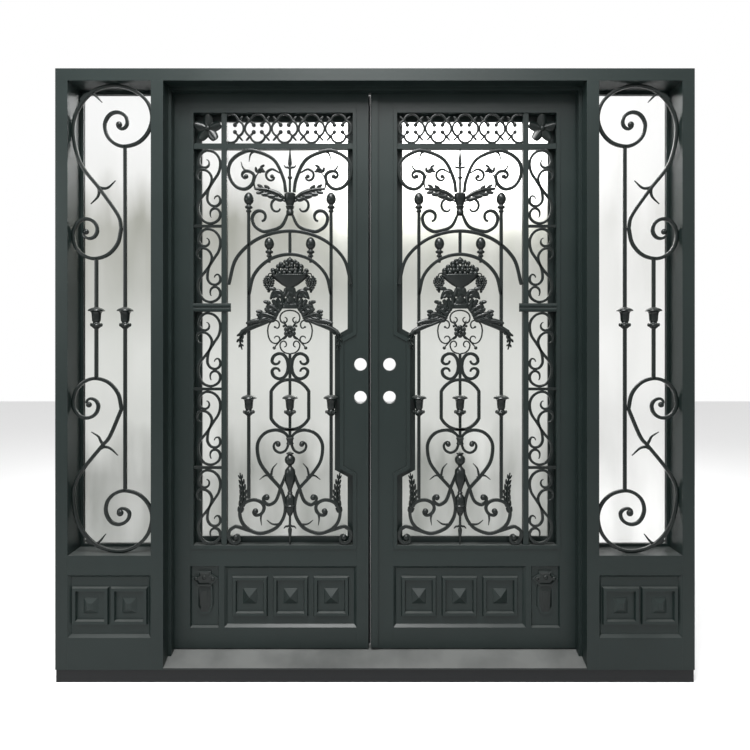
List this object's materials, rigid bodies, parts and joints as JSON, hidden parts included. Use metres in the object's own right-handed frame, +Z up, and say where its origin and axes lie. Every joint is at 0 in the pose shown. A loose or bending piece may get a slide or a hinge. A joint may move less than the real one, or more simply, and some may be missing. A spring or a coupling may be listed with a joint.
{
  "type": "double wrought iron entry door with sidelights",
  "caption": "Double wrought iron entry door with scroll grilles, a fruit basket ornament and two fixed sidelights in one dark steel frame.",
  "frame": {"origin": "on the ground under the middle of the frame, on the underside of the sill base", "axes": "+X along the front to the right as seen from outside, +Y from the outside in, +Z up"},
  "size_m": [2.61, 0.1705, 2.51],
  "materials": {
    "iron": "satin",
    "sill_steel": "satin",
    "hinge_steel": "satin",
    "frosted_glass": "matte"
  },
  "bodies": {
    "frame": {"header": "iron", "left_frame_hinges": "hinge_steel", "left_jamb": "iron", "left_mullion": "iron", "right_frame_hinges": "hinge_steel", "right_jamb": "iron", "right_mullion": "iron", "sidelight_beads": "iron", "sidelight_cups": "iron", "sidelight_glass": "frosted_glass", "sidelight_panels": "iron", "sidelight_scrolls": "iron", "sill_base": "sill_steel", "threshold": "iron"},
    "left_leaf": {"left_band_flower": "iron", "left_band_lattice": "iron", "left_bead": "iron", "left_divider_bars": "iron", "left_finials": "iron", "left_fruit_basket": "iron", "left_glass": "frosted_glass", "left_hinge_stile": "iron", "left_kick_panel": "iron", "left_leaf_hinges": "hinge_steel", "left_lock_stile": "iron", "left_picket_cups": "iron", "left_sash": "iron", "left_scroll_grille": "iron", "left_strip_scrolls": "iron", "left_top_rail": "iron"},
    "right_leaf": {"right_astragal": "iron", "right_band_flower": "iron", "right_band_lattice": "iron", "right_bead": "iron", "right_divider_bars": "iron", "right_finials": "iron", "right_fruit_basket": "iron", "right_glass": "frosted_glass", "right_hinge_stile": "iron", "right_kick_panel": "iron", "right_leaf_hinges": "hinge_steel", "right_lock_stile": "iron", "right_picket_cups": "iron", "right_sash": "iron", "right_scroll_grille": "iron", "right_strip_scrolls": "iron", "right_top_rail": "iron"}
  },
  "joints": [
    {"name": "left_leaf_hinge", "type": "hinge", "parent": "frame", "child": "left_leaf", "pos_m": [-0.8625, 0.086, 1.274], "axis": [0, 0, 1], "range_deg": [0, 100]},
    {"name": "right_leaf_hinge", "type": "hinge", "parent": "frame", "child": "right_leaf", "pos_m": [0.8625, 0.086, 1.274], "axis": [0, 0, -1], "range_deg": [0, 100]}
  ]
}
